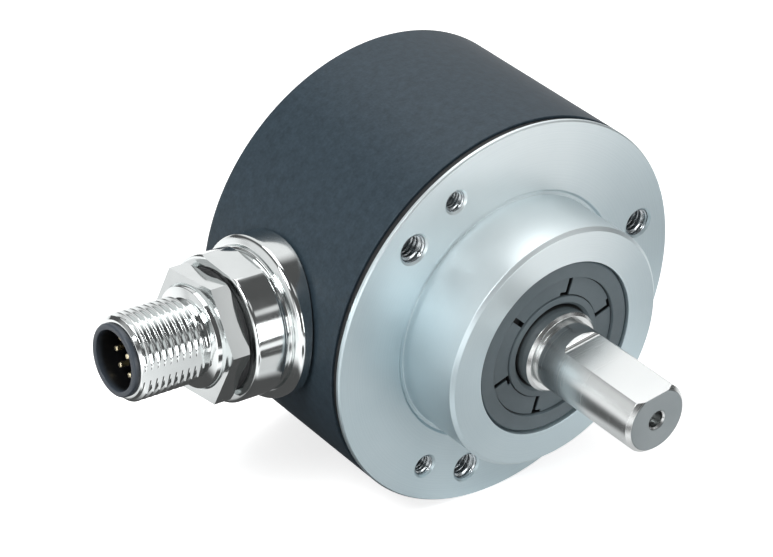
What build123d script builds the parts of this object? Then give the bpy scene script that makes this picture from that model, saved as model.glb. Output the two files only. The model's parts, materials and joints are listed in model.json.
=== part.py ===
from build123d import *
from math import cos, radians, sin
import os

# Absolute rotary encoder with a clamping flange, in millimetres.
# The origin is on the shaft axis in the plane of the flange's mounting face.
# The shaft points along -Y, the connector along -X, and +Z is up.

# Fits
fit_gap = 0.02            # radial gap of a seated fit
run_gap = 0.05            # radial gap of a running fit

# Flange and cup
housing_r = 29.0          # flange rim and cup, outside
rim_thick = 0.6
rim_chamfer = 0.2
gasket_thick = 1.0
gasket_inset = 0.35       # gasket edge below the rim
cup_wall = 2.0
cup_back = 2.2
cup_edge = 0.8            # chamfer round the cup's rear
flange_depth = 8.0        # flange body inside the cup
spigot_r = 18.0
spigot_length = 10.0
spigot_chamfer = 0.5
bolt_inset = 5.0          # rim to bolt circle
bolt_count = 3
m4_r = 2.0
m3_r = 1.5
m4_angle = 20.0
m3_angle = 0.0
bolt_depth = 6.5
hole_chamfer = 0.35

# Shaft seal
shaft_r = 5.0
journal_r = 6.0
seal_r = 13.0
seal_width = 6.0
seal_recess = 0.4         # spigot face to seal face
seal_rim = 2.5            # radial width of the raised outer band
seal_lip_ring = 1.6       # journal to the outside of the inner band
seal_mouth = 0.7          # journal to the inside of the inner band
seal_step = 0.45          # depth of the lettering zone
seal_web = 1.8
seal_skin = 1.3           # rubber over the case
case_thick = 0.8
slot_count = 6
slot_angle = 20.0
slot_width = 0.45
slot_depth = 0.5
slot_tick = 1.2

# Shaft
shaft_reach = 30.0        # flange face to shaft end
shaft_chamfer = 0.6
collar_reach = 11.3       # flange face to the step at the journal's front
collar_chamfer = 0.4
neck_width = 0.6
neck_depth = 0.2
flat_length = 14.5
flat_depth = 1.0
flat_angle = 100.0        # direction the flat faces, from +X towards +Z
start_turn = 67.5         # from the flat to the edge where the turned profile starts
centre_hole_r = 1.2
centre_hole_depth = 4.0
shoulder_r = 7.2
shoulder_thick = 0.8
tail_r = 4.0              # seat of the disc hub

# Bearings
bearing_r = 12.0
bearing_width = 6.0
race_wall = 2.1           # inner ring
shield_gap = 0.1          # inner ring to the outer ring's shields
bearing_pitch = 8.0       # front bearing to rear bearing
lip_thick = 1.0
lip_width = 2.0
spacer_wall = 2.0
clip_thick = 1.2
clip_bite = 0.6           # groove depth
clip_width = 2.0
clip_gap = 3.0            # opening of a clip
boss_wall = 3.0
boss_lip = 1.0

# Disc and optics
hub_clear = 0.4
arm_thick = 1.8
optic_gap = 0.6
hub_r = 6.5
hub_flange_r = 8.0
hub_flange = 1.2
pilot_r = 5.0
disc_thick = 0.8
disc_clear = 1.1          # disc edge to the posts and to the foot of the lamp holder
track_inset = 2.2         # disc edge to the middle of the track
chip_height = 1.9
chip_size = 6.0
lens_r = 1.4
lens_wall = 0.6           # lens to the foot of its holder
lamp_width = 7.0
hub_screw_r = 1.5
hub_screw_length = 7.0
hub_screw_head = 1.2

# Board and its posts
board_clear = 2.0
board_thick = 1.6
rear_space = 7.9          # board to the cup's rear wall
post_flats = 5.0
post_angle = 28.0
post_count = 3
post_stud_r = 1.25
post_stud = 3.0
board_screw_length = 4.5
board_screw_head_r = 2.2
board_screw_head = 1.3
part_circle_r = 10.5      # circle on which the board's parts sit
processor_size = (10.0, 10.0, 1.4)
driver_size = (6.0, 8.0, 1.6)
supply_size = (7.0, 5.0, 3.0)
clock_size = (5.0, 4.0, 2.2)
header_length = 6.0
header_height = 4.6
header_width = 10.0
header_gap = 4.6          # ribbon's bend to the plug block

# Connector
connector_clear = 0.8     # flange body to the saddle washer
saddle_r = 8.0
saddle_thick = 1.5
inner_nut_flats = 14.0
inner_nut = 2.2
stem_r = 6.0
stem_bore_r = 4.6
stem_extra = 0.5
base_r = 11.4
base_gasket = 0.5
base_gasket_inset = 0.5
base_height = 2.5
base_round = 1.1
groove_width = 1.0
groove_r = 9.7
body_r = 10.2
body_flats = 19.0
body_length = 4.9
body_chamfer = 0.35
nut_seal = 0.6
nut_seal_width = 1.6
nut_flats = 16.5
nut_thick = 2.8
nut_turn = 21.0           # first corner, from +Z towards -Y
shell_r = 7.0
shell_seat = 3.8          # length of the shell inside the body
shell_collar = 0.7
thread_r = 5.95
thread_length = 10.8
thread_chamfer = 0.6
relief_width = 0.8
relief_r = 5.4
thread_flat = 5.6         # axis to the flat along the thread
insert_r = 4.8
rim_r = 5.0
rim_length = 0.9
mouth_r = 4.15
mouth_depth = 8.2
floor_thick = 3.0
key_recess = 0.8          # rim's front to the key
key_width = 1.2
key_height = 0.6
key_angle = 125.0         # from +Y towards +Z
pin_r = 0.4
pin_circle_r = 2.6
pin_count = 7             # round the middle pin
pin_recess = 2.1
pin_tail = 4.0
lead_width = 6.0
lead_thick = 0.5
lead_bend = 2.2
lead_clear = 1.2          # stem's end to the ribbon's bend
notch_clear = 0.5

# Radii worked out from the sizes above
cup_inner_r = housing_r - cup_wall
register_r = cup_inner_r - fit_gap
bolt_circle_r = housing_r - bolt_inset
bearing_bore_r = bearing_r + fit_gap
seal_bore_r = seal_r + fit_gap
clip_groove_r = bearing_bore_r + clip_bite
boss_r = bearing_r + boss_wall
post_circle_r = (boss_r + cup_inner_r) / 2
post_corner_r = post_flats / 2 / cos(radians(30))
disc_r = post_circle_r - post_corner_r - disc_clear
track_r = disc_r - track_inset
board_r = cup_inner_r - board_clear

# Places along the shaft axis worked out from the sizes above
cup_front = rim_thick + gasket_thick
seal_front = -spigot_length + seal_recess
seal_back = seal_front + seal_width
front_bearing = seal_back + lip_thick
rear_bearing = front_bearing + bearing_pitch
stack_end = rear_bearing + bearing_width
clip_end = stack_end + clip_thick
boss_end = clip_end + boss_lip
hub_front = boss_end + hub_clear
disc_front = hub_front + arm_thick + optic_gap
disc_back = disc_front + disc_thick
board_front = disc_back + optic_gap + chip_height
board_back = board_front + board_thick
cup_floor = board_back + rear_space
housing_depth = cup_floor + cup_back
connector_y = flange_depth + connector_clear + saddle_r

# Stations along the connector, measured from the shaft axis
saddle_face = cup_inner_r - saddle_thick
inner_nut_face = saddle_face - inner_nut
stem_end = inner_nut_face - stem_extra
base_top = housing_r + base_height
body_back = base_top + groove_width
body_front = body_back + body_length
nut_back = body_front + nut_seal
nut_front = nut_back + nut_thick
collar_front = nut_front + shell_collar
thread_front = collar_front + thread_length
rim_front = thread_front + rim_length
mouth_floor = rim_front - mouth_depth
insert_back = mouth_floor - floor_thick
lead_x = lead_clear - stem_end
header_x = lead_x + header_gap

connector_axis = Axis((0, connector_y, 0), (-1, 0, 0))


def polar(radius, angle):
    """(x, z) of a point at an angle from +X towards +Z."""
    return radius * cos(radians(angle)), radius * sin(radians(angle))


def turned(*corners):
    """Solid of revolution about the shaft axis, from (radius, y) corners."""
    return revolve(make_face(Polyline(*corners, close=True)), Axis.Y)


def ring(inner, outer, start, end):
    """Plain ring about the shaft axis, from y = start to y = end."""
    return turned((inner, start), (outer, start), (outer, end), (inner, end))


def side_turned(*corners):
    """Solid of revolution about the connector axis, from (station, radius) corners."""
    places = [(-station, connector_y + radius) for station, radius in corners]
    return revolve(make_face(Polyline(*places, close=True)), connector_axis)


def side_ring(inner, outer, start, end):
    """Plain ring about the connector axis, between two stations."""
    return side_turned((start, inner), (start, outer), (end, outer), (end, inner))


def rod(radius, start, end, place=(0, 0)):
    """Cylinder along Y from y = start to y = end, at an (x, z) place."""
    x, z = place
    return Pos(x, (start + end) / 2, z) * Rot(X=90) * Cylinder(radius, end - start)


def side_rod(radius, start, end, place=(0, 0)):
    """Cylinder along the connector, between two stations, at a (y, z) place off its axis."""
    y, z = place
    middle = Pos(-(start + end) / 2, connector_y + y, z)
    return middle * Rot(Y=90) * Cylinder(radius, end - start)


def block(low, high):
    """Box between two corners."""
    middle = [(a + b) / 2 for a, b in zip(low, high)]
    return Pos(*middle) * Box(*[b - a for a, b in zip(low, high)])


def hexagon(flats, start, end, turn=0.0):
    """Hexagonal prism along the connector, its first corner turned from +Z."""
    face = Plane((-end, connector_y, 0), x_dir=(0, 0, 1), z_dir=(1, 0, 0))
    return extrude(face * Rot(Z=turn) * RegularPolygon(flats / 2, 6, major_radius=False), end - start)


def post(start, end, place):
    """Hexagonal post along Y at an (x, z) place."""
    x, z = place
    face = Plane((x, start, z), x_dir=(1, 0, 0), z_dir=(0, 1, 0))
    return extrude(face * RegularPolygon(post_flats / 2, 6, major_radius=False), end - start)


def spaced(count, radius, first):
    """(x, z) places evenly round the shaft axis."""
    return [polar(radius, first + 360 / count * k) for k in range(count)]


def tapped_holes():
    """Cutters for the two sets of blind holes, each with a chamfered mouth."""
    cutters = []
    for radius, first in ((m4_r, m4_angle), (m3_r, m3_angle)):
        for x, z in spaced(bolt_count, bolt_circle_r, first):
            cutters.append(rod(radius, 0, bolt_depth, (x, z)))
            mouth = Cone(radius + hole_chamfer, radius, hole_chamfer)
            cutters.append(Pos(x, hole_chamfer / 2, z) * Rot(X=-90) * mouth)
    return cutters


def flange():
    """Turned flange: rim, clamping spigot, register for the cup and stepped bearing bore."""
    body = turned(
        (seal_bore_r, -spigot_length),
        (spigot_r - spigot_chamfer, -spigot_length),
        (spigot_r, spigot_chamfer - spigot_length),
        (spigot_r, 0),
        (housing_r - rim_chamfer, 0),
        (housing_r, rim_chamfer),
        (housing_r, rim_thick),
        (register_r, rim_thick),
        (register_r, flange_depth),
        (boss_r, flange_depth),
        (boss_r, boss_end),
        (bearing_bore_r, boss_end),
        (bearing_bore_r, clip_end),
        (clip_groove_r, clip_end),
        (clip_groove_r, stack_end),
        (bearing_bore_r, stack_end),
        (bearing_bore_r, front_bearing),
        (bearing_r - lip_width, front_bearing),
        (bearing_r - lip_width, seal_back),
        (seal_bore_r, seal_back),
    )
    for cutter in tapped_holes():
        body -= cutter
    for place in spaced(post_count, post_circle_r, post_angle):
        body -= rod(post_stud_r + fit_gap, flange_depth - post_stud - fit_gap, flange_depth, place)
    return body


def flange_gasket():
    """Flat gasket between the flange rim and the cup's front edge."""
    return ring(register_r + fit_gap, housing_r - gasket_inset, rim_thick, cup_front)


def housing_cup():
    """Round drawn cup, pressed on the flange's register, with the connector's hole."""
    cup = turned(
        (cup_inner_r, cup_front),
        (housing_r, cup_front),
        (housing_r, housing_depth - cup_edge),
        (housing_r - cup_edge, housing_depth),
        (0, housing_depth),
        (0, cup_floor),
        (cup_inner_r, cup_floor),
    )
    return cup - side_rod(stem_r + fit_gap, cup_inner_r - base_r, housing_r + base_r)


def shaft_seal():
    """Rubber shaft seal: raised outer band, slotted face zone, open mouth and lip."""
    lip = journal_r + run_gap
    lip_front = seal_front + 2 * seal_step
    band = journal_r + seal_lip_ring
    mouth = journal_r + seal_mouth
    zone = seal_front + seal_step
    web = seal_front + seal_web
    body = turned(
        (seal_r, seal_front),
        (seal_r, seal_back),
        (seal_r - seal_skin, seal_back),
        (seal_r - seal_skin, web),
        (band, web),
        (lip, seal_back - seal_web),
        (lip, lip_front),
        (mouth, seal_front + seal_step / 2),
        (band, seal_front + seal_step / 2),
        (band, zone),
        (seal_r - seal_rim, zone),
        (seal_r - seal_rim, seal_front),
    )
    for index in range(slot_count):
        angle = slot_angle + 360 / slot_count * index
        end = band if index % 2 else seal_r - seal_rim - slot_width
        slot = block((band, zone, -slot_width / 2), (seal_r - seal_rim, zone + slot_depth, slot_width / 2))
        slot += block((end, zone, -slot_width / 2), (end + slot_width, zone + slot_depth, slot_tick))
        body -= Rot(Y=-angle) * slot
    return body


def seal_case():
    """Pressed steel case that stiffens the seal."""
    outer = seal_r - seal_skin - fit_gap
    web = seal_front + seal_web
    inner = journal_r + seal_lip_ring + fit_gap
    return turned(
        (inner, web),
        (outer, web),
        (outer, seal_back),
        (outer - case_thick, seal_back),
        (outer - case_thick, web + case_thick),
        (inner, web + case_thick),
    )


def outer_ring(start):
    """Outer ring of a bearing with the shields that close it."""
    return ring(journal_r + race_wall + shield_gap, bearing_r, start, start + bearing_width)


def inner_ring(start):
    """Inner ring of a bearing."""
    return ring(journal_r + fit_gap, journal_r + race_wall, start, start + bearing_width)


def spacer(inner, outer):
    """Ring that keeps the two bearings apart."""
    return ring(inner, outer, front_bearing + bearing_width, rear_bearing)


def clip(inner, outer, direction):
    """Retaining ring behind the rear bearing, open on one side."""
    body = ring(inner, outer, stack_end, clip_end)
    opening = block((0, stack_end, -clip_gap / 2), (outer + clip_gap, clip_end, clip_gap / 2))
    return body - Rot(Y=direction) * opening


def shaft():
    """Shaft with its flat, running collar, shoulder, journal and hub seat."""
    step = -collar_reach
    body = turned(
        (0, -shaft_reach),
        (shaft_r - shaft_chamfer, -shaft_reach),
        (shaft_r, shaft_chamfer - shaft_reach),
        (shaft_r, step - neck_width),
        (shaft_r - neck_depth, step - neck_width),
        (shaft_r - neck_depth, step),
        (journal_r - collar_chamfer, step),
        (journal_r, step + collar_chamfer),
        (journal_r, front_bearing - shoulder_thick),
        (shoulder_r, front_bearing - shoulder_thick),
        (shoulder_r, front_bearing),
        (journal_r, front_bearing),
        (journal_r, stack_end),
        (journal_r - clip_bite, stack_end),
        (journal_r - clip_bite, clip_end),
        (journal_r, clip_end),
        (journal_r, hub_front),
        (tail_r, hub_front),
        (tail_r, disc_back - fit_gap),
        (0, disc_back - fit_gap),
    )
    reach = shaft_r * 2
    flat = block((shaft_r - flat_depth, -shaft_reach, -reach), (reach, flat_length - shaft_reach, reach))
    body -= Rot(Y=-start_turn) * flat
    body -= rod(centre_hole_r, -shaft_reach, centre_hole_depth - shaft_reach)
    body -= rod(hub_screw_r + fit_gap, disc_back - hub_screw_length - fit_gap, disc_back)
    return Rot(Y=start_turn - flat_angle) * body


def disc_hub():
    """Hub that carries the code disc on the shaft's tail."""
    return turned(
        (tail_r + fit_gap, hub_front),
        (hub_r, hub_front),
        (hub_r, disc_front - hub_flange),
        (hub_flange_r, disc_front - hub_flange),
        (hub_flange_r, disc_front),
        (pilot_r, disc_front),
        (pilot_r, disc_back),
        (tail_r + fit_gap, disc_back),
    )


def code_disc():
    """Glass disc with the code tracks."""
    return ring(pilot_r + fit_gap, disc_r, disc_front, disc_back)


def hub_screw():
    """Screw in the shaft's rear end that clamps the hub."""
    head = rod(pilot_r, disc_back, disc_back + hub_screw_head)
    return head + rod(hub_screw_r, disc_back - hub_screw_length, disc_back)


def lamp_holder():
    """Moulded arm on the flange that holds the lamp in front of the code tracks."""
    half = lamp_width / 2
    foot = track_r + lens_r + lens_wall
    outer = disc_r + disc_clear
    arm = block((foot, flange_depth, -half), (outer, hub_front + arm_thick, half))
    arm += block((track_r - half, hub_front, -half), (outer, hub_front + arm_thick, half))
    return arm - rod(lens_r + fit_gap, hub_front, hub_front + arm_thick, (track_r, 0))


def lamp_lens():
    """Round lens in the lamp holder's arm."""
    return rod(lens_r, hub_front, hub_front + arm_thick, (track_r, 0))


def board():
    """Round circuit board, cut back at the connector."""
    plate = rod(board_r, board_front, board_back)
    edge = inner_nut_face - notch_clear
    plate -= block((-2 * board_r, board_front, -board_r), (-edge, board_back, board_r))
    side = lead_width / 2 + notch_clear
    plate -= block((-2 * board_r, board_front, -side), (lead_x + lead_thick + notch_clear, board_back, side))
    for place in spaced(post_count, post_circle_r, post_angle):
        plate -= rod(post_stud_r + fit_gap, board_front, board_back, place)
    return plate


def read_head():
    """Optical receiver on the board, behind the code tracks."""
    half = chip_size / 2
    return block((track_r - half, board_front - chip_height, -half), (track_r + half, board_front, half))


def board_parts():
    """Processor, bus driver and supply parts on the rear of the board."""
    chips = []
    for size, angle in ((processor_size, 242), (driver_size, 30), (supply_size, -42), (clock_size, 124)):
        width, height, thick = size
        x, z = polar(part_circle_r, angle)
        low = (x - width / 2, board_back, z - height / 2)
        high = (x + width / 2, board_back + thick, z + height / 2)
        chips.append(block(low, high))
    return Compound(chips)


def lead_header():
    """Plug block on the board that takes the connector's leads."""
    half = header_width / 2
    return block((header_x, board_back, -half), (header_x + header_length, board_back + header_height, half))


def leads():
    """Flat ribbon of leads from the contacts to the plug block."""
    level = board_back + header_height / 2
    route = FilletPolyline(
        (pin_tail - insert_back, connector_y, 0),
        (lead_x, connector_y, 0),
        (lead_x, level, 0),
        (header_x, level, 0),
        radius=lead_bend,
    )
    start = Plane(route @ 0, x_dir=(0, 0, 1), z_dir=route % 0)
    return sweep(start * Rectangle(lead_width, lead_thick), route)


def posts():
    """Three hexagonal posts with studs, from the flange to the board."""
    return Compound([
        post(flange_depth, board_front, place)
        + rod(post_stud_r, flange_depth - post_stud, flange_depth, place)
        - rod(post_stud_r + fit_gap, board_back - board_screw_length - fit_gap, board_front, place)
        for place in spaced(post_count, post_circle_r, post_angle)
    ])


def board_screws():
    """Three screws that hold the board on its posts."""
    return Compound([
        rod(board_screw_head_r, board_back, board_back + board_screw_head, place)
        + rod(post_stud_r, board_back - board_screw_length, board_back, place)
        for place in spaced(post_count, post_circle_r, post_angle)
    ])


def saddle_washer():
    """Washer inside the cup, curved on one side to its wall."""
    body = side_ring(stem_r + fit_gap, saddle_r, saddle_face, housing_r)
    return body & rod(cup_inner_r - fit_gap, 0, housing_depth)


def inner_nut():
    """Nut that pulls the connector against the cup."""
    return hexagon(inner_nut_flats, inner_nut_face, saddle_face) - side_rod(
        stem_r + fit_gap, inner_nut_face, saddle_face)


def saddle_gasket():
    """Thin gasket curved between the cup and the connector's base."""
    body = side_ring(stem_r + fit_gap, base_r - base_gasket_inset, cup_inner_r - base_r, base_top)
    return body & ring(housing_r + fit_gap, housing_r + base_gasket, 0, housing_depth)


def connector_base():
    """Domed collar, cut to a saddle that sits on the round cup."""
    top = housing_r + base_height
    body = side_turned(
        (cup_inner_r - base_r, stem_r + fit_gap),
        (cup_inner_r - base_r, base_r),
        (top - base_round, base_r),
        (top, base_r - base_round),
        (top, groove_r),
        (body_back, groove_r),
        (body_back, stem_r + fit_gap),
    )
    return body - rod(housing_r + base_gasket + fit_gap, -housing_depth, 2 * housing_depth)


def connector_body():
    """Round body with two spanner flats and a stem through the cup."""
    seat = body_front - shell_seat
    body = side_turned(
        (stem_end, stem_bore_r),
        (stem_end, stem_r),
        (body_back, stem_r),
        (body_back, body_r),
        (body_front - body_chamfer, body_r),
        (body_front, body_r - body_chamfer),
        (body_front, shell_r + fit_gap),
        (seat, shell_r + fit_gap),
        (seat, stem_bore_r),
    )
    for side in (-1, 1):
        low = side * body_flats / 2
        high = side * 2 * body_r
        body -= block(
            (-body_front, connector_y - body_r, min(low, high)),
            (-body_back, connector_y + body_r, max(low, high)),
        )
    return body


def nut_seal_ring():
    """Seal ring between the body and the hexagonal nut."""
    return side_ring(shell_r + fit_gap, shell_r + nut_seal_width, body_front, nut_back)


def lock_nut():
    """Hexagonal nut, chamfered on the side of the seal ring."""
    corner = nut_flats / 2 / cos(radians(30))
    bevel = corner - nut_flats / 2
    envelope = side_turned(
        (nut_back, shell_r + fit_gap),
        (nut_back, nut_flats / 2),
        (nut_back + bevel / 2, corner),
        (nut_front, corner),
        (nut_front, shell_r + fit_gap),
    )
    return envelope & hexagon(nut_flats, nut_back, nut_front, nut_turn)


def thread_shell():
    """Threaded sleeve of the connector, with a flat along its thread."""
    seat = body_front - shell_seat
    body = side_turned(
        (seat, stem_bore_r),
        (seat, shell_r),
        (collar_front, shell_r),
        (collar_front, relief_r),
        (collar_front + relief_width, relief_r),
        (collar_front + relief_width, thread_r),
        (thread_front - thread_chamfer, thread_r),
        (thread_front, thread_r - thread_chamfer),
        (thread_front, insert_r + fit_gap),
        (insert_back, insert_r + fit_gap),
        (insert_back, stem_bore_r),
    )
    return body - block(
        (-thread_front, connector_y - 2 * thread_r, -thread_r),
        (-collar_front, connector_y - thread_flat, thread_r),
    )


def contact_insert():
    """Plastic insert: sleeve with its rim and key, and the floor that holds the contacts."""
    body = side_turned(
        (insert_back, 0),
        (insert_back, insert_r),
        (thread_front, insert_r),
        (thread_front, rim_r),
        (rim_front, rim_r),
        (rim_front, mouth_r),
        (mouth_floor, mouth_r),
        (mouth_floor, 0),
    )
    key = block(
        (key_recess - rim_front, mouth_r - key_height, -key_width / 2),
        (-mouth_floor, mouth_r + key_height / 2, key_width / 2),
    )
    body += Pos(0, connector_y, 0) * Rot(X=key_angle) * key
    for place in contact_places():
        body -= side_rod(pin_r + fit_gap, insert_back, mouth_floor, place)
    return body


def contact_places():
    """(y, z) places of the contacts off the connector axis."""
    step = 360 / pin_count
    ring_places = [polar(pin_circle_r, key_angle + step * (k + 0.5)) for k in range(pin_count)]
    return ring_places + [(0, 0)]


def contacts():
    """Contact pins with their tails, as separate solids."""
    return Compound([
        side_rod(pin_r, insert_back - pin_tail, rim_front - pin_recess, place) for place in contact_places()
    ])


parts = {
    "flange": flange(),
    "flange_gasket": flange_gasket(),
    "housing_cup": housing_cup(),
    "shaft_seal": shaft_seal(),
    "seal_case": seal_case(),
    "front_bearing_outer_ring": outer_ring(front_bearing),
    "front_bearing_inner_ring": inner_ring(front_bearing),
    "rear_bearing_outer_ring": outer_ring(rear_bearing),
    "rear_bearing_inner_ring": inner_ring(rear_bearing),
    "outer_spacer": spacer(bearing_r - spacer_wall, bearing_r),
    "inner_spacer": spacer(journal_r + fit_gap, journal_r + spacer_wall),
    "bore_clip": clip(clip_groove_r - clip_width - fit_gap, clip_groove_r - fit_gap, 90),
    "shaft_clip": clip(journal_r - clip_bite + fit_gap, journal_r - clip_bite + clip_width, 0),
    "shaft": shaft(),
    "disc_hub": disc_hub(),
    "code_disc": code_disc(),
    "hub_screw": hub_screw(),
    "lamp_holder": lamp_holder(),
    "lamp_lens": lamp_lens(),
    "circuit_board": board(),
    "read_head": read_head(),
    "board_parts": board_parts(),
    "lead_header": lead_header(),
    "connector_leads": leads(),
    "board_posts": posts(),
    "board_screws": board_screws(),
    "saddle_washer": saddle_washer(),
    "inner_nut": inner_nut(),
    "saddle_gasket": saddle_gasket(),
    "connector_base": connector_base(),
    "connector_body": connector_body(),
    "nut_seal_ring": nut_seal_ring(),
    "lock_nut": lock_nut(),
    "thread_shell": thread_shell(),
    "contact_insert": contact_insert(),
    "contact_pins": contacts(),
}

os.makedirs("parts", exist_ok=True)
for name, solid in parts.items():
    export_step(solid, f"parts/{name}.step")
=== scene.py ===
import json
from math import cos, pi, radians, sin, tan

import bmesh
import bpy
import numpy as np
from mathutils import Matrix, Vector


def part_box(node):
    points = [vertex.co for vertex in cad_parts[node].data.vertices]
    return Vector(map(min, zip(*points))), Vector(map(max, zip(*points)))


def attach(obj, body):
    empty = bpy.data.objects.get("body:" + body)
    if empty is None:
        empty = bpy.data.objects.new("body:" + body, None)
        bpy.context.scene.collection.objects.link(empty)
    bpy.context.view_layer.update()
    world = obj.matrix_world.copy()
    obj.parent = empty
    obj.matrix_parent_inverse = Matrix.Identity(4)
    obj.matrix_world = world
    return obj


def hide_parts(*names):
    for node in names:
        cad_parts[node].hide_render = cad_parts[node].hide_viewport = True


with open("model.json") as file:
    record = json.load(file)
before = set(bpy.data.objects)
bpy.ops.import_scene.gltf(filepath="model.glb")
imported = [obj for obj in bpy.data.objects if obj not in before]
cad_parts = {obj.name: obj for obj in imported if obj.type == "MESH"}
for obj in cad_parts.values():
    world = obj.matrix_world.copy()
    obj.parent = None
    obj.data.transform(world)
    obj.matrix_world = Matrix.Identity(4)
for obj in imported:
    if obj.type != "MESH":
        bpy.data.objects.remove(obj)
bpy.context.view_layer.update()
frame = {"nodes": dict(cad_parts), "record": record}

# Shapes are worked out in millimetres and written to meshes in metres.
MM = 0.001
# Gap between pieces that fit in one another
FIT = 0.02

# Flange and cup. The radius is a hair under 29, to stay inside the CAD model's faceted box.
HOUSING_R = 28.997
RIM_THICK = 0.6
CUP_FRONT = 1.6
CUP_INNER_R = 27.0
CUP_WALL = 2.2
GASKET_R = 28.65
FLANGE_DEPTH = 8.0
SPIGOT_R = 18.0
SPIGOT_LENGTH = 10.0
ROOT_DEPTH, ROOT_WIDTH, ROOT_EDGE = 0.3, 0.55, 0.85
SEAL_R = 13.0
SEAL_SEAT = -3.6
LIP_R = 10.0
BORE_FRONT = -2.6
BORE_R = 12.02
BORE_END = 13.6
BOSS_R = 15.0
CLIP_START, CLIP_END, CLIP_BITE = 11.4, 12.6, 0.6
STUD_R = 1.27
BOLT_CIRCLE_R = 24.0
BOLT_DEPTH = 6.5
M4 = {"radius": 2.0, "pitch": 0.7, "first": 20.0}
M3 = {"radius": 1.5, "pitch": 0.5, "first": 0.0}
HOLE_CHAMFER = 0.35
HOLE_TIP = 0.8
HOLE_THREAD_SHARE = 0.54
HOLE_THREAD_SKIN = 0.004

# Shaft and seal
SHAFT_R = 5.0
JOURNAL_R = 6.0
JOURNAL_END = 14.0
SHOULDER_R = 7.2
SHOULDER_FRONT = -3.4
HUB_SEAT_R = 4.0
HUB_SEAT_END = 17.18
HUB_HOLE_R = 1.52
HUB_HOLE_START = 10.18
CENTRE_HOLE_R = 1.2
SHAFT_REACH = 30.0
COLLAR_REACH = 11.3
FLAT_ANGLE = 100.0
FLAT_DEPTH = 1.0
FLAT_LENGTH = 14.5
RUN_OUT_R = 0.7
SEAL_FRONT = -9.6
SEAL_ZONE = SEAL_FRONT + 0.45
SEAL_LIP_R = 6.07
SEAL_INNER_R = 7.6
SEAL_OUTER_R = 10.5
SEAL_BACK, SEAL_BACK_R = -5.0, 11.7
RING_GROOVE = 0.14
GROOVE_DEPTH = 0.3
POST_CIRCLE_R = 21.0
POST_ANGLE = 28.0
SLOT_ANGLE = 20.0
SLOT_HALF = 0.36
FOOT_WIDTH, FOOT_REACH = 0.5, 1.3

# Connector, in stations from the shaft axis
STEM_R = 6.0
STEM_BORE_R = 4.6
STEM_END = 22.8
BASE_R = 11.4
BASE_TOP = 31.5
BASE_SEAT_R = 29.5
GROOVE_R = 9.7
BODY_BACK = 32.5
BODY_FRONT = 37.4
BODY_R = 10.2
BODY_FLATS = 19.0
SEAT = 33.6
NUT_BACK = 38.0
NUT_FRONT = 40.8
NUT_FLATS = 16.5
NUT_TURN = 21.0
NUT_RING_R = 8.6
SHELL_R = 7.0
COLLAR_FRONT = 41.5
THREAD_R = 5.95
THREAD_FRONT = 52.3
THREAD_PITCH = 1.0
THREAD_DEPTH = 0.55
THREAD_CHAMFER = 0.6
THREAD_FLAT = 5.35
RELIEF = 0.8
RIM_FRONT = 53.2
RIM_R = 5.0
INSERT_R = 4.8
INSERT_BACK = 42.0
MOUTH_R = 4.15
MOUTH_FLOOR = 45.0
KEY_ANGLE = 125.0
KEY_DEPTH, KEY_INSET = 0.6, 0.8
PIN_R = 0.4
PIN_CIRCLE_R = 2.6
PIN_BACK = 38.0
PIN_TIP = 51.1


def middle_of(node):
    """Middle of a CAD node's box, in millimetres."""
    low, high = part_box(node)
    return (low + high) / 2 / MM


CONNECTOR_Y = middle_of("lock_nut").y
HOUSING_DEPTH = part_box("housing_cup")[1].y / MM


def rounded(corners, default=0.15, steps=5):
    """Closed outline through corners (a, b[, radius]); each corner becomes an arc that is tangent
    to its two sides, sampled at equal turns, with a guard point beside each end of the arc."""
    points = []
    count = len(corners)
    for index, corner in enumerate(corners):
        here = np.array(corner[:2], float)
        before = np.array(corners[index - 1][:2], float) - here
        after = np.array(corners[(index + 1) % count][:2], float) - here
        radius = corner[2] if len(corner) > 2 else default
        long_in, long_out = np.linalg.norm(before), np.linalg.norm(after)
        before, after = before / long_in, after / long_out
        half = np.arccos(np.clip(before @ after, -1, 1)) / 2
        if radius <= 0 or half > 1.5:
            points.append(here)
            continue
        reach = min(radius / tan(half), 0.45 * long_in, 0.45 * long_out)
        radius = reach * tan(half)
        centre = here + (before + after) / np.linalg.norm(before + after) * radius / sin(half)
        start, end = here + before * reach - centre, here + after * reach - centre
        sweep = np.arccos(np.clip(start @ end / radius**2, -1, 1))
        side = np.sign(start[0] * end[1] - start[1] * end[0])
        points.append(here + before * min(1.6 * reach, 0.48 * long_in))
        for step in np.linspace(0, sweep, steps + 1):
            c, s = cos(step), sin(step) * side
            points.append(centre + [c * start[0] - s * start[1], s * start[0] + c * start[1]])
        points.append(here + after * min(1.6 * reach, 0.48 * long_out))
    return np.array(points)


def subdivided(outline, longest):
    """The outline with its sides cut into equal steps no longer than the given length."""
    out = []
    for here, after in zip(outline, np.roll(outline, -1, axis=0)):
        steps = max(1, int(np.ceil(np.linalg.norm(after - here) / longest)))
        out.extend(here + (after - here) * k / steps for k in range(steps))
    return np.array(out)


def mesh_piece(name, points, faces, crease=32.0):
    """Mesh object from millimetre points, with doubles merged, outward normals and sharp creases."""
    mesh = bpy.data.meshes.new(name)
    mesh.from_pydata((np.asarray(points) * MM).tolist(), [], np.asarray(faces).tolist())
    shape = bmesh.new()
    shape.from_mesh(mesh)
    bmesh.ops.remove_doubles(shape, verts=shape.verts, dist=2e-7)
    bmesh.ops.dissolve_degenerate(shape, dist=1e-8, edges=shape.edges)
    bmesh.ops.recalc_face_normals(shape, faces=shape.faces)
    shape.to_mesh(mesh)
    shape.free()
    piece = bpy.data.objects.new(name, mesh)
    bpy.context.scene.collection.objects.link(piece)
    smooth(piece, crease)
    return piece


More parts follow.
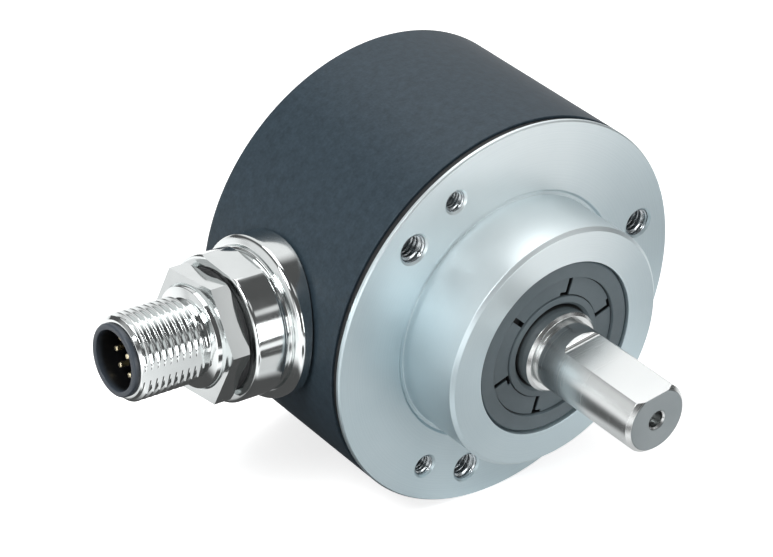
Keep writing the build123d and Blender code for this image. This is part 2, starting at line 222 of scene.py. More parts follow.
def smooth(piece, crease=32.0):
    """Smooth shading, with edges sharp where faces turn by more than the crease angle."""
    piece.data.polygons.foreach_set("use_smooth", [True] * len(piece.data.polygons))
    piece.data.set_sharp_from_angle(angle=radians(crease))
    piece.data.update()


def turns(count, extra=()):
    """Angles round a circle in radians: evenly spaced, with the extra ones (degrees) added."""
    even = np.arange(count) * 2 * pi / max(count, 1)
    added = np.radians(np.array(list(extra), float)) % (2 * pi)
    return np.unique(np.round(np.concatenate([even, added]), 7))


def shaft_frame(radius, along, angle):
    """Point at a radius and y, turned about the shaft axis from +X towards +Z."""
    return np.stack([radius * np.cos(angle), along, radius * np.sin(angle)], -1)


def plug_frame(radius, along, angle):
    """Point at a radius and station, turned about the connector axis from +Y towards +Z."""
    return np.stack([-along, CONNECTOR_Y + radius * np.cos(angle), radius * np.sin(angle)], -1)


def lathe(name, outline, place=shaft_frame, angles=None, rule=None, crease=32.0):
    """Closed (radius, along) outline carried round an axis:
    point(t, a) = place(rule(outline(t), a), a)."""
    angles = turns(240) if angles is None else angles
    radius, along = np.meshgrid(outline[:, 0], angles, indexing="ij")[0], outline[:, 1][:, None]
    along = np.repeat(along, len(angles), axis=1)
    angle = np.repeat(angles[None, :], len(outline), axis=0)
    if rule is not None:
        radius, along = rule(radius, along, angle)
    points = place(radius, along, angle).reshape(-1, 3)
    rows, columns = len(outline), len(angles)
    i, j = np.meshgrid(np.arange(rows), np.arange(columns), indexing="ij")
    next_i, next_j = (i + 1) % rows, (j + 1) % columns
    corners = [
        i * columns + j, next_i * columns + j, next_i * columns + next_j, i * columns + next_j]
    return mesh_piece(name, points, np.stack(corners, -1).reshape(-1, 4), crease)


def screw(name, place, pitch, start, end, rule, closing, columns, crease):
    """Screw surface: rows follow the helix, along = start + pitch * (row + angle / turn), held between
    start and end; radius = rule(along, crest), with crest from 0 at the root to 1. Root and flank are
    shares of the pitch, and the steps of a row lie closest at their corners. Rings (radius, along)
    close it."""
    root, flank = 0.13, 0.28
    steps = np.array([
        0, 0.06, 0.11, 0.14, 0.21, 0.28, 0.35, 0.40, 0.43,
        0.5, 0.57, 0.60, 0.65, 0.72, 0.79, 0.86, 0.89, 0.94])
    rows = np.concatenate([k + steps for k in range(-1, int(np.ceil((end - start) / pitch)) + 1)])
    crest = np.clip((0.5 - np.abs(rows % 1 - 0.5) - root) / flank, 0, 1)
    angle = np.linspace(0, 2 * pi, columns + 1)
    along = np.clip(start + pitch * (rows[:, None] + angle / (2 * pi)), start, end)
    surface = place(rule(along, crest[:, None]), along, np.repeat(angle[None, :], len(rows), axis=0))
    rings = np.array([
        place(np.full(columns + 1, r), np.full(columns + 1, a), angle) for r, a in closing])
    points = np.concatenate([surface, rings])
    count = len(points)
    i, j = np.meshgrid(np.arange(count), np.arange(columns), indexing="ij")
    here, after = i * (columns + 1) + j, (i + 1) % count * (columns + 1) + j
    faces = np.stack([here, after, after + 1, here + 1], -1).reshape(-1, 4)
    return mesh_piece(name, points.reshape(-1, 3), faces, crease)


def cut(piece, cutter, crease=32.0):
    """Takes the cutter away from the piece, and deletes the cutter."""
    modifier = piece.modifiers.new("cut", "BOOLEAN")
    modifier.operation, modifier.solver, modifier.object = "DIFFERENCE", "EXACT", cutter
    bpy.context.view_layer.update()
    depsgraph = bpy.context.evaluated_depsgraph_get()
    result = bpy.data.meshes.new_from_object(piece.evaluated_get(depsgraph))
    piece.modifiers.clear()
    piece.data = result
    bpy.data.objects.remove(cutter)
    smooth(piece, crease)
    return piece


def joined(name, pieces):
    """One object from several meshes."""
    shape = bmesh.new()
    for piece in pieces:
        shape.from_mesh(piece.data)
    mesh = bpy.data.meshes.new(name)
    shape.to_mesh(mesh)
    shape.free()
    for piece in pieces:
        bpy.data.objects.remove(piece)
    whole = bpy.data.objects.new(name, mesh)
    bpy.context.scene.collection.objects.link(whole)
    return whole


def bar(name, along, height, low, high, angle):
    """Straight bar with an (along, height) profile, from low to high across it; height is turned from
    +X towards +Z by the angle."""
    count = len(along)
    out = np.array([cos(radians(angle)), 0, sin(radians(angle))])
    side = np.array([-out[2], 0, out[0]])
    ring = height[:, None] * out + along[:, None] * np.array([0, 1.0, 0])
    points = np.concatenate([ring + low * side, ring + high * side])
    walls = [(i, (i + 1) % count, count + (i + 1) % count, count + i) for i in range(count)]
    ends = [tuple(range(count)), tuple(range(count, 2 * count))[::-1]]
    mesh = bpy.data.meshes.new(name)
    mesh.from_pydata((points * MM).tolist(), [], walls + ends)
    shape = bmesh.new()
    shape.from_mesh(mesh)
    bmesh.ops.recalc_face_normals(shape, faces=shape.faces)
    shape.to_mesh(mesh)
    shape.free()
    made = bpy.data.objects.new(name, mesh)
    bpy.context.scene.collection.objects.link(made)
    return made


def block(low, high):
    """Plain block between two corners, for cutting."""
    across, along, up = zip(low, high)
    corners = np.array([[x, y, z] for x in across for y in along for z in up])
    sides = [(0, 1, 3, 2), (4, 6, 7, 5), (0, 4, 5, 1), (2, 3, 7, 6), (0, 2, 6, 4), (1, 5, 7, 3)]
    return mesh_piece("cutter", corners, sides)


def moved(piece, x=0.0, y=0.0, z=0.0):
    """The piece with its mesh moved by millimetres."""
    piece.data.transform(Matrix.Translation(Vector((x, y, z)) * MM))
    return piece


def circle_places(radius, first):
    """(x, z) of three places round the shaft axis."""
    return [(radius * cos(a), radius * sin(a)) for a in (radians(first + 120 * k) for k in range(3))]


def bolt_places(kind):
    """(x, z) of the three holes of a kind."""
    return circle_places(BOLT_CIRCLE_R, kind["first"])


class Value:
    """A shader socket with the arithmetic that the finishes use: each operator adds a Math node."""

    def __init__(self, finish, socket):
        self.finish, self.socket = finish, socket

    def math(self, operation, *others):
        """This value and the others in a Math node."""
        return self.finish.node("ShaderNodeMath", {"operation": operation}, self, *others)

    def __add__(self, other):
        return self.math("ADD", other)

    __radd__ = __add__

    def __mul__(self, other):
        return self.math("MULTIPLY", other)

    def __sub__(self, other):
        return self.math("SUBTRACT", other)

    def __rsub__(self, other):
        return self * -1 + other

    def __truediv__(self, other):
        return self.math("DIVIDE", other)

    def __pow__(self, other):
        return self.math("POWER", other)


class Finish:
    """A material or a world under construction. node() makes any node, principled() ends a material."""

    def __init__(self, name, holder=None):
        self.material = holder or bpy.data.materials.new(name)
        self.material.use_nodes = True
        self.tree = self.material.node_tree
        self.tree.nodes.clear()
        kind = "ShaderNodeOutputWorld" if holder else "ShaderNodeOutputMaterial"
        self.output = self.tree.nodes.new(kind)
        self.place = self.node("ShaderNodeTexCoord", out="Generated" if holder else "Object")

    def node(self, kind, settings=None, *inputs, out=0, **named):
        """Adds a node: settings first, then the values or links of its sockets; returns an output."""
        made = self.tree.nodes.new(kind)
        for key, value in (settings or {}).items():
            setattr(made, key, value)
        sockets = list(enumerate(inputs)) + [(key.replace("_", " "), v) for key, v in named.items()]
        for key, value in sockets:
            if isinstance(value, Value):
                self.tree.links.new(value.socket, made.inputs[key])
            elif value is not None:
                made.inputs[key].default_value = value
        return Value(self, made.outputs[out])

    def axes(self):
        """X, Y and Z of the coordinates."""
        node = self.node("ShaderNodeSeparateXYZ", None, self.place).socket.node
        return [Value(self, output) for output in node.outputs]

    def rise(self, value, low, high):
        """Smooth rise from 0 to 1 between two values."""
        return self.node(
            "ShaderNodeMapRange", {"interpolation_type": "SMOOTHSTEP"}, value, low, high)

    def rays(self, *kinds):
        """1 for rays of the named kinds."""
        node = self.node("ShaderNodeLightPath").socket.node
        total = Value(self, node.outputs[kinds[0]])
        for kind in kinds[1:]:
            total = total.math("MAXIMUM", Value(self, node.outputs[kind]))
        return total

    def noise(self, scale, detail):
        """Noise from 0 to 1 over Object coordinates."""
        return self.node(
            "ShaderNodeTexNoise", None, Vector=self.place, Scale=scale, Detail=detail, Roughness=0.55)

    def lines(self, place, scale, detail):
        """Noise from 0 to 1 along one coordinate."""
        return self.node(
            "ShaderNodeTexNoise", {"noise_dimensions": "1D"}, W=place, Scale=scale, Detail=detail)

    def ramp(self, value, stops):
        """Colour ramp with (position, colour) stops."""
        made = self.tree.nodes.new("ShaderNodeValToRGB")
        while len(made.color_ramp.elements) < len(stops):
            made.color_ramp.elements.new(0.5)
        for element, (position, colour) in zip(made.color_ramp.elements, stops):
            element.position, element.color = position, (*colour, 1)
        self.tree.links.new(value.socket, made.inputs[0])
        return Value(self, made.outputs[0])

    def bump(self, height, distance, strength):
        """Normal from a height, with the distance in millimetres."""
        return self.node(
            "ShaderNodeBump", None, Height=height, Distance=distance * MM, Strength=strength)

    def principled(self, **sockets):
        """Ends the material in a Principled BSDF with these sockets."""
        made = self.tree.nodes.new("ShaderNodeBsdfPrincipled")
        for key, value in sockets.items():
            socket = made.inputs[key.replace("_", " ")]
            if isinstance(value, Value):
                self.tree.links.new(value.socket, socket)
            else:
                socket.default_value = value
        self.tree.links.new(made.outputs[0], self.output.inputs[0])
        return self.material


def about_shaft(finish):
    """Distance from the shaft axis and place along it, in metres."""
    x, y, z = finish.axes()
    return (x * x + z * z) ** 0.5, y


def turned_aluminium():
    """Pale satin aluminium: fine rings left by the lathe, and a painted highlight that lightens the
    colour round the top.
    """
    finish = Finish("turned_aluminium")
    radius, along = about_shaft(finish)
    rings = finish.lines(radius + along * 1.37, 9000.0, 2.0)
    cloud = finish.noise(90.0, 2.0)
    x, _, z = finish.axes()
    # Painted highlight: the colour is lighter round the top of the face and spigot, a little to the
    # left, and unchanged on the lower half.
    painted_top_highlight = ((z * 0.99 - x * 0.14) / (radius + 0.001)).math("MAXIMUM", 0.0)
    tone = cloud * 0.15 + rings * 0.2 + painted_top_highlight * painted_top_highlight * 0.5 + 0.1
    colour = finish.ramp(tone, [(0.2, (0.525, 0.64, 0.685)), (0.8, (0.88, 0.95, 0.965))])
    return finish.principled(
        Base_Color=colour, Metallic=0.72, Roughness=rings * 0.10 + 0.33,
        Normal=finish.bump(rings, 0.004, 0.5),
    )


def slate_paint():
    """Dark slate grey paint with a fine even texture."""
    finish = Finish("slate_paint")
    grain = finish.noise(2600.0, 2.0)
    coarse = finish.noise(900.0, 2.0)
    tone = finish.ramp(grain * 0.5 + coarse * 0.5, [
        (0.3, (0.022, 0.036, 0.048)), (0.7, (0.040, 0.063, 0.083))])
    return finish.principled(
        Base_Color=tone, Metallic=0.0, Roughness=grain * 0.12 + 0.44, Specular_IOR_Level=0.28,
        Normal=finish.bump(grain * 0.6 + coarse * 0.4, 0.04, 0.7),
    )


def seal_rubber():
    """Moulded dark grey rubber, faintly mottled, with painted shade: near black down in its slots and
    its mouth.
    """
    finish = Finish("seal_rubber")
    mottle = finish.noise(500.0, 4.0)
    # Painted shade: from 0.5 to 0.8 mm behind the seal's front the colour goes near black, down in the
    # slots, grooves and mouth.
    painted_recess_shade = finish.rise(about_shaft(finish)[1], (SEAL_FRONT + 0.5) * MM, (SEAL_FRONT + 0.8) * MM)
    tone = finish.ramp(mottle * 0.3 + 0.7 - painted_recess_shade * 0.7, [
        (0.0, (0.004, 0.005, 0.006)), (0.32, (0.010, 0.011, 0.013)),
        (0.78, (0.138, 0.178, 0.198)), (0.92, (0.162, 0.203, 0.224))])
    return finish.principled(
        Base_Color=tone, Roughness=mottle * 0.15 + 0.42, Normal=finish.bump(mottle, 0.02, 0.4))


def black_rubber():
    """Plain black rubber for the gasket and the seal rings."""
    finish = Finish("black_rubber")
    mottle = finish.noise(900.0, 3.0)
    tone = finish.ramp(mottle, [(0.3, (0.010, 0.011, 0.012)), (0.7, (0.018, 0.019, 0.021))])
    return finish.principled(Base_Color=tone, Roughness=mottle * 0.2 + 0.45)


def ground_steel():
    """Stainless steel, ground round the shaft, with a rougher turned end whose colour is darkened as
    painted shade.
    """
    finish = Finish("ground_steel")
    along = about_shaft(finish)[1]
    lines = finish.lines(along, 7000.0, 3.0)
    cloud = finish.noise(160.0, 2.0)
    # Painted shade: the shaft's end face is coloured about half as light as its side, along with a real
    # rise in roughness.
    end = finish.rise(along * -1, (SHAFT_REACH - 0.15) * MM, (SHAFT_REACH - 0.05) * MM)
    tone = finish.ramp(lines * 0.4 + cloud * 0.2 + 0.4 - end * 0.6, [
        (0.0, (0.22, 0.25, 0.26)), (0.2, (0.31, 0.34, 0.35)),
        (0.6, (0.64, 0.66, 0.66)), (0.9, (0.72, 0.735, 0.73))])
    return finish.principled(
        Base_Color=tone, Metallic=1.0, Roughness=lines * 0.06 + 0.23 + end * 0.12,
        Normal=finish.bump(lines, 0.0008, 0.4))


def bright_nickel():
    """Bright nickel plate with the faintest waviness."""
    finish = Finish("bright_nickel")
    wave = finish.noise(240.0, 2.0)
    tone = finish.ramp(wave, [(0.3, (0.72, 0.75, 0.75)), (0.7, (0.78, 0.81, 0.81))])
    return finish.principled(
        Base_Color=tone, Metallic=1.0, Roughness=wave * 0.05 + 0.08,
        Normal=finish.bump(wave, 0.01, 0.3))


def black_plastic():
    """Moulded blue-black plastic, with painted shade: near black down in the plug's mouth."""
    finish = Finish("black_plastic")
    grain = finish.noise(1500.0, 2.0)
    x = finish.axes()[0]
    # Painted shade: this is 1 at the rim's front and 0 from 1.3 mm behind it, where the plug's mouth is
    # coloured near black.
    mouth = finish.rise(x * -1, (RIM_FRONT - 1.3) * MM, (RIM_FRONT - 0.1) * MM)
    tone = finish.ramp(mouth * 0.9 + grain * 0.1, [
        (0.05, (0.003, 0.003, 0.004)), (0.95, (0.052, 0.066, 0.085))])
    return finish.principled(
        Base_Color=tone, Roughness=grain * 0.1 + 0.34, Normal=finish.bump(grain, 0.01, 0.4))


def plain_metal(name, low, high, roughness):
    """Machined metal of one tone, with a light cloud over it."""
    finish = Finish(name)
    cloud = finish.noise(300.0, 3.0)
    tone = finish.ramp(cloud, [(0.3, low), (0.7, high)])
    return finish.principled(Base_Color=tone, Metallic=1.0, Roughness=cloud * 0.12 + roughness)


def plain_solid(name, low, high, roughness, scale=400.0):
    """Non-metal of one tone, with a light mottle."""
    finish = Finish(name)
    cloud = finish.noise(scale, 3.0)
    tone = finish.ramp(cloud, [(0.3, low), (0.7, high)])
    return finish.principled(Base_Color=tone, Roughness=cloud * 0.12 + roughness)


def disc_glass():
    """Clear glass, with the faintest cloud, for the code disc and the lens."""
    finish = Finish("disc_glass")
    cloud = finish.noise(300.0, 2.0)
    return finish.principled(
        Base_Color=finish.ramp(cloud, [(0.3, (0.75, 0.82, 0.84)), (0.7, (0.85, 0.90, 0.91))]),
        Roughness=cloud * 0.05 + 0.05, Transmission_Weight=0.6, IOR=1.5)


def flange_piece():
    """Turned flange with rim, spigot and bore; its tapped holes are cut with chamfered mouths."""
    outline = subdivided(rounded([
        (SEAL_R + FIT, -SPIGOT_LENGTH, 0.12),
        (SPIGOT_R - 0.5, -SPIGOT_LENGTH, 0.12),
        (SPIGOT_R, 0.5 - SPIGOT_LENGTH, 0.12),
        (SPIGOT_R, ROOT_DEPTH, 0.1),
        (SPIGOT_R + ROOT_WIDTH, ROOT_DEPTH, 0.12),
        (SPIGOT_R + ROOT_EDGE, 0, 0.12),
        (HOUSING_R - 0.2, 0, 0.06),
        (HOUSING_R, 0.2, 0.06),
        (HOUSING_R, RIM_THICK, 0.05),
        (CUP_INNER_R - FIT, RIM_THICK, 0),
        (CUP_INNER_R - FIT, FLANGE_DEPTH, 0.2),
        (BOSS_R, FLANGE_DEPTH, 0.2),
        (BOSS_R, BORE_END, 0.2),
        (BORE_R, BORE_END, 0.1),
        (BORE_R, CLIP_END, 0),
        (BORE_R + CLIP_BITE, CLIP_END, 0),
        (BORE_R + CLIP_BITE, CLIP_START, 0),
        (BORE_R, CLIP_START, 0),
        (BORE_R, BORE_FRONT, 0),
        (LIP_R, BORE_FRONT, 0.1),
        (LIP_R, SEAL_SEAT, 0.1),
        (SEAL_R + FIT, SEAL_SEAT, 0),
    ], steps=3), 3.0)
    piece = lathe("turned_flange", outline, angles=turns(288))
    cutters = []
    for kind in (M4, M3):
        r, mouth = kind["radius"], kind["radius"] + 1 + HOLE_CHAMFER
        shape = np.array([
            (0, -1), (mouth, -1), (r, HOLE_CHAMFER), (r, BOLT_DEPTH), (0, BOLT_DEPTH + HOLE_TIP)])
        for x, z in bolt_places(kind):
            cutters.append(moved(lathe("cutter", shape, angles=turns(64)), x=x, z=z))
    top, bottom = FLANGE_DEPTH + 1, FLANGE_DEPTH - 3
    stud = np.array([(0, top), (STUD_R, top), (STUD_R, bottom), (0, bottom)])
    for x, z in circle_places(POST_CIRCLE_R, POST_ANGLE):
        cutters.append(moved(lathe("cutter", stud, angles=turns(32)), x=x, z=z))
    return cut(piece, joined("cutters", cutters))


def hole_thread(kind, x, z):
    """Sleeve just inside a tapped hole's wall: radius = major - share * pitch * crest, faded at both
    ends."""
    major, pitch = kind["radius"] - HOLE_THREAD_SKIN, kind["pitch"]
    start, end = 0.25, BOLT_DEPTH - 0.1

    def groove(along, crest):
        """Radius of the thread's inner side."""
        fade = np.clip(np.minimum(along - start, end - along) / pitch, 0, 1)
        return major - HOLE_THREAD_SHARE * pitch * crest * fade

    closing = [(major, end), (major, start)]
    sleeve = screw("thread", shaft_frame, pitch, start, end, groove, closing, columns=48, crease=50)
    return moved(sleeve, x=x, z=z)


def cup_piece():
    """Painted cup with a rounded rear edge."""
    outline = subdivided(rounded([
        (CUP_INNER_R, CUP_FRONT, 0.1),
        (HOUSING_R, CUP_FRONT, 0.12),
        (HOUSING_R, HOUSING_DEPTH, 0.8),
        (0, HOUSING_DEPTH, 0),
        (0, HOUSING_DEPTH - CUP_WALL, 0),
        (CUP_INNER_R, HOUSING_DEPTH - CUP_WALL, 0.5),
    ], steps=8), 4.0)
    piece = lathe("painted_cup", outline, angles=turns(288))
    inside, outside = 20.0, 40.0
    hole = np.array([(0, inside), (STEM_R + FIT, inside), (STEM_R + FIT, outside), (0, outside)])
    return cut(piece, lathe("cutter", hole, plug_frame, turns(96)))


def gasket_piece():
    """Black gasket ring between rim and cup."""
    inner, outer = CUP_INNER_R - 0.01, GASKET_R
    corners = [(inner, RIM_THICK), (outer, RIM_THICK), (outer, CUP_FRONT), (inner, CUP_FRONT)]
    return lathe("rim_gasket", rounded(corners, 0.1, 3), angles=turns(288))


def seal_piece():
    """Seal face: raised outer band, plain zone with six bent slots, inner band and dust lip. A slot is
    a radial bar and its foot a short bar across it."""
    groove, band = SEAL_ZONE + GROOVE_DEPTH, SEAL_FRONT + 0.22
    piece = lathe("moulded_seal", subdivided(rounded([
        (SEAL_R - 0.35, SEAL_FRONT, 0.15),
        (SEAL_R, SEAL_FRONT + 0.6, 0.1),
        (SEAL_R, SEAL_SEAT, 0),
        (SEAL_BACK_R, SEAL_SEAT, 0),
        (SEAL_INNER_R, SEAL_BACK, 0),
        (SEAL_LIP_R, SEAL_BACK, 0),
        (SEAL_LIP_R, SEAL_FRONT + 0.9, 0.05),
        (6.7, band, 0.1),
        (SEAL_INNER_R, band, 0.08),
        (SEAL_INNER_R, groove, 0),
        (SEAL_INNER_R + RING_GROOVE, groove, 0),
        (SEAL_INNER_R + RING_GROOVE, SEAL_ZONE, 0.03),
        (SEAL_OUTER_R - RING_GROOVE, SEAL_ZONE, 0.03),
        (SEAL_OUTER_R - RING_GROOVE, groove, 0),
        (SEAL_OUTER_R, groove, 0),
        (SEAL_OUTER_R, SEAL_FRONT, 0.12),
    ], steps=4), 1.2), angles=turns(288), crease=30)
    above, below = SEAL_ZONE - 0.15, SEAL_ZONE + 0.8
    along = np.array([above, below, below, above])
    inner, outer = SEAL_INNER_R + 0.06, SEAL_OUTER_R - 0.06
    slots, feet = [], []
    for index in range(6):
        angle = SLOT_ANGLE + 60 * index
        height = np.array([inner, inner, outer, outer])
        slots.append(bar("slot", along, height, -SLOT_HALF, SLOT_HALF, angle))
        foot = SEAL_INNER_R + 0.08 if index % 2 else SEAL_OUTER_R - 0.58
        height = np.array([foot, foot, foot + FOOT_WIDTH, foot + FOOT_WIDTH])
        feet.append(bar("foot", along, height, -SLOT_HALF, FOOT_REACH, angle))
    cut(piece, joined("slots", slots), crease=30)
    return cut(piece, joined("feet", feet), crease=30)


def shaft_piece():
    """Turned shaft. Its flat is cut by a bar whose profile is the flat's level, then a run-out arc:
    (along - start)^2 + (height - level - radius)^2 = radius^2."""
    step = -COLLAR_REACH
    outline = subdivided(rounded([
        (0, -SHAFT_REACH, 0),
        (SHAFT_R - 0.6, -SHAFT_REACH, 0.08),
        (SHAFT_R, 0.6 - SHAFT_REACH, 0.08),
        (SHAFT_R, step - 0.6, 0.05),
        (SHAFT_R - 0.2, step - 0.6, 0.05),
        (SHAFT_R - 0.2, step, 0.05),
        (JOURNAL_R - 0.4, step, 0.08),
        (JOURNAL_R, step + 0.4, 0.08),
        (JOURNAL_R, SHOULDER_FRONT, 0.05),
        (SHOULDER_R, SHOULDER_FRONT, 0.1),
        (SHOULDER_R, BORE_FRONT, 0.1),
        (JOURNAL_R, BORE_FRONT, 0.05),
        (JOURNAL_R, CLIP_START, 0),
        (JOURNAL_R - CLIP_BITE, CLIP_START, 0),
        (JOURNAL_R - CLIP_BITE, CLIP_END, 0),
        (JOURNAL_R, CLIP_END, 0),
        (JOURNAL_R, JOURNAL_END, 0.1),
        (HUB_SEAT_R, JOURNAL_END, 0.1),
        (HUB_SEAT_R, HUB_SEAT_END, 0.1),
        (0, HUB_SEAT_END, 0),
    ], steps=3), 2.5)
    piece = lathe("ground_shaft", outline, angles=turns(288), crease=24)
    level, start = SHAFT_R - FLAT_DEPTH, FLAT_LENGTH - SHAFT_REACH
    sweep = np.linspace(0, radians(75), 13)
    beyond = -SHAFT_REACH - 1
    along = np.concatenate([[beyond], start + RUN_OUT_R * np.sin(sweep), [start + 2.5, beyond]])
    height = np.concatenate([[level], level + RUN_OUT_R * (1 - np.cos(sweep)), [level + 7, level + 7]])
    cut(piece, bar("cutter", along, height, -8.0, 8.0, FLAT_ANGLE), crease=24)
    centre = np.array([
        (0, beyond), (2.5, beyond), (CENTRE_HOLE_R, 0.3 - SHAFT_REACH),
        (CENTRE_HOLE_R, 4 - SHAFT_REACH), (0, 4.6 - SHAFT_REACH)])
    start, end = HUB_HOLE_START, HUB_SEAT_END + 0.82
    hub = np.array([(0, start), (HUB_HOLE_R, start), (HUB_HOLE_R, end), (0, end)])
    holes = [lathe("cutter", centre, angles=turns(72)), lathe("cutter", hub, angles=turns(48))]
    return cut(piece, joined("cutters", holes), crease=24)


def base_piece():
    """Domed collar, begun inside the cup; its foot follows the round cup: station = sqrt(R^2 - z^2)."""
    inside = 20.0
    outline = subdivided(rounded([
        (STEM_R + FIT, inside, 0),
        (BASE_R, inside, 0),
        (BASE_R, BASE_TOP - 0.45, 1.0),
        (GROOVE_R + 0.6, BASE_TOP, 0.5),
        (GROOVE_R, BASE_TOP, 0.25),
        (GROOVE_R, BODY_BACK, 0),
        (STEM_R + FIT, BODY_BACK, 0),
    ], steps=8), 1.0)

    def saddle(radius, along, angle):
        """Moves the foot out to the cup."""
        foot = np.sqrt(BASE_SEAT_R**2 - (radius * np.sin(angle)) ** 2)
        return radius, np.maximum(along, foot)

    return lathe("connector_collar", outline, plug_frame, rule=saddle)


def saddle_gasket_piece():
    """Thin black gasket curved between cup and collar."""
    inner, outer = STEM_R + FIT, BASE_R - 0.5
    outline = np.array([(inner, 0), (outer, 0), (outer, 1), (inner, 1)])

    def saddle(radius, along, angle):
        """Carries the two faces to the cup and to the collar."""
        height = BASE_SEAT_R - 0.5 + 0.5 * along
        return radius, np.sqrt(height**2 - (radius * np.sin(angle)) ** 2)

    return lathe("collar_gasket", outline, plug_frame, rule=saddle)


def body_piece():
    """Round body on its stem; two straight blocks cut its spanner flats."""
    piece = lathe("connector_body_piece", subdivided(rounded([
        (SHELL_R + FIT, SEAT, 0),
        (SHELL_R + FIT, BODY_FRONT, 0.1),
        (BODY_R, BODY_FRONT, 0.4),
        (BODY_R, BODY_BACK, 0.3),
        (STEM_R, BODY_BACK, 0),
        (STEM_R, STEM_END, 0.2),
        (STEM_BORE_R, STEM_END, 0.2),
        (STEM_BORE_R, SEAT, 0),
    ], steps=6), 2.0), plug_frame, turns(288), crease=34)
    flat, depth, reach = BODY_FLATS / 2, 3, 12
    front, back = -BODY_FRONT - 1, -BODY_BACK + 0.01
    sides = [block((front, CONNECTOR_Y - reach, low), (back, CONNECTOR_Y + reach, low + depth))
             for low in (flat, -flat - depth)]
    return cut(piece, joined("cutters", sides), crease=34)


def nut_piece():
    """Hexagonal nut: a turned blank, chamfered towards the seal ring, less all that lies outside
    radius = half flats / cos(angle from the middle of a flat)."""
    flat = NUT_FLATS / 2
    corner = flat / cos(pi / 6)
    blank = lathe("hexagon_nut", rounded([
        (SHELL_R + FIT, NUT_BACK, 0),
        (corner - 0.35, NUT_BACK, 0),
        (corner, NUT_BACK + 0.2, 0),
        (corner, NUT_FRONT, 0),
        (SHELL_R + 0.3, NUT_FRONT, 0.1),
        (SHELL_R + FIT, NUT_FRONT - 0.28, 0.1),
    ], steps=3), plug_frame, turns(288), crease=28)
    first = 90 + NUT_TURN
    inner, outer = 9, 14

    def hexagon(radius, along, angle):
        """Turns the cutter's inner wall into the hexagon."""
        turn = (angle - radians(first)) % (pi / 3) - pi / 6
        return np.where(radius == inner, flat / np.cos(turn), radius), along

    low, high = NUT_BACK - 1, NUT_FRONT + 1
    around = np.array([(inner, low), (outer, low), (outer, high), (inner, high)])
    angles = turns(0, [first + 60 * k + step for k in range(6) for step in (0, 20, 40)])
    return cut(blank, lathe("cutter", around, plug_frame, angles, hexagon), crease=28)


def nut_ring_piece():
    """Black ring between body and nut."""
    inner, outer = SHELL_R + FIT, NUT_RING_R
    corners = [(inner, BODY_FRONT), (outer, BODY_FRONT), (outer, NUT_BACK), (inner, NUT_BACK)]
    return lathe("nut_ring", rounded(corners, 0.2, 4), plug_frame, turns(180))


def thread_piece():
    """Threaded sleeve with a chamfered end: radius = min(root + depth * crest, chamfer), less a block
    that leaves the flat along the thread, which is shaded flat."""
    edge = 0.02
    start, end, bore = COLLAR_FRONT + RELIEF, THREAD_FRONT - edge, INSERT_R + FIT
    root = THREAD_R - THREAD_DEPTH

    def ridge(along, crest):
        """Radius of the thread, faded in behind the relief."""
        radius = root + THREAD_DEPTH * crest * np.clip((along - start) / 0.5, 0, 1)
        return np.minimum(radius, THREAD_R - THREAD_CHAMFER + (end - along) * 0.9)

    rings = [
        (THREAD_R - THREAD_CHAMFER - edge, THREAD_FRONT), (bore, THREAD_FRONT),
        (bore, INSERT_BACK), (STEM_BORE_R, INSERT_BACK), (STEM_BORE_R, SEAT),
        (SHELL_R - 0.1, SEAT), (SHELL_R, SEAT + 0.1), (SHELL_R, COLLAR_FRONT - 0.1),
        (SHELL_R - 0.1, COLLAR_FRONT), (root + 0.1, COLLAR_FRONT), (root, COLLAR_FRONT + 0.1),
        (root, start - 0.05),
    ]
    piece = screw(
        "threaded_sleeve", plug_frame, THREAD_PITCH, start, end, ridge, rings, columns=168, crease=46)
    flat = CONNECTOR_Y - THREAD_FLAT
    cut(piece, block((-THREAD_FRONT - 1, flat - 3, -8), (-COLLAR_FRONT - 0.02, flat, 8)), crease=46)
    for polygon in piece.data.polygons:
        polygon.use_smooth = polygon.normal.y > -0.9999
    return piece


def insert_piece():
    """Contact insert: rim, mouth and floor; the key bulges the mouth's wall inwards."""
    outline = subdivided(rounded([
        (0, MOUTH_FLOOR, 0),
        (MOUTH_R, MOUTH_FLOOR, 0.1),
        (MOUTH_R, RIM_FRONT, 0.2),
        (RIM_R, RIM_FRONT, 0.3),
        (RIM_R, THREAD_FRONT + 0.01, 0.1),
        (INSERT_R, THREAD_FRONT + 0.01, 0),
        (INSERT_R, INSERT_BACK, 0),
        (0, INSERT_BACK, 0),
    ], steps=5), 0.6)
    half = np.degrees(KEY_DEPTH / MOUTH_R)
    edges = [KEY_ANGLE + side * half * share for side in (-1, 1) for share in (0.7, 1.0, 1.3)]

    def key(radius, along, angle):
        """Bulges the key inwards, from just inside the rim to the floor."""
        turn = (angle - radians(KEY_ANGLE) + pi) % (2 * pi) - pi
        inside = (np.abs(radius - MOUTH_R) < 0.05) & (along < RIM_FRONT - KEY_INSET)
        bulge = np.clip((radians(half * 1.3) - np.abs(turn)) / radians(half * 0.6), 0, 1)
        return np.where(inside, radius - KEY_DEPTH * bulge, radius), along

    return lathe("plug_insert", outline, plug_frame, turns(180, edges), key)


def pin_piece(y, z):
    """Contact pin with a rounded tip."""
    corners = [(0, PIN_BACK), (PIN_R, PIN_BACK), (PIN_R, PIN_TIP, 0.16), (0, PIN_TIP)]
    outline = rounded(corners, default=0)
    return moved(lathe("pin", outline, plug_frame, turns(28)), y=y, z=z)


def pin_pieces():
    """Seven pins round one in the middle."""
    places = [(PIN_CIRCLE_R * cos(a), PIN_CIRCLE_R * sin(a))
              for a in (radians(KEY_ANGLE + 360 / 7 * (k + 0.5)) for k in range(7))]
    return joined("plug_pins", [pin_piece(y, z) for y, z in places + [(0, 0)]])


def dress(piece, material, body, slot, *nodes):
    """Gives a piece its finish and its body, and hides the CAD nodes that it stands for."""
    piece.data.materials.clear()
    piece.data.materials.append(material)
    for polygon in piece.data.polygons:
        polygon.material_index = 0
    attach(piece, body)
    if nodes:
        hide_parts(*nodes)


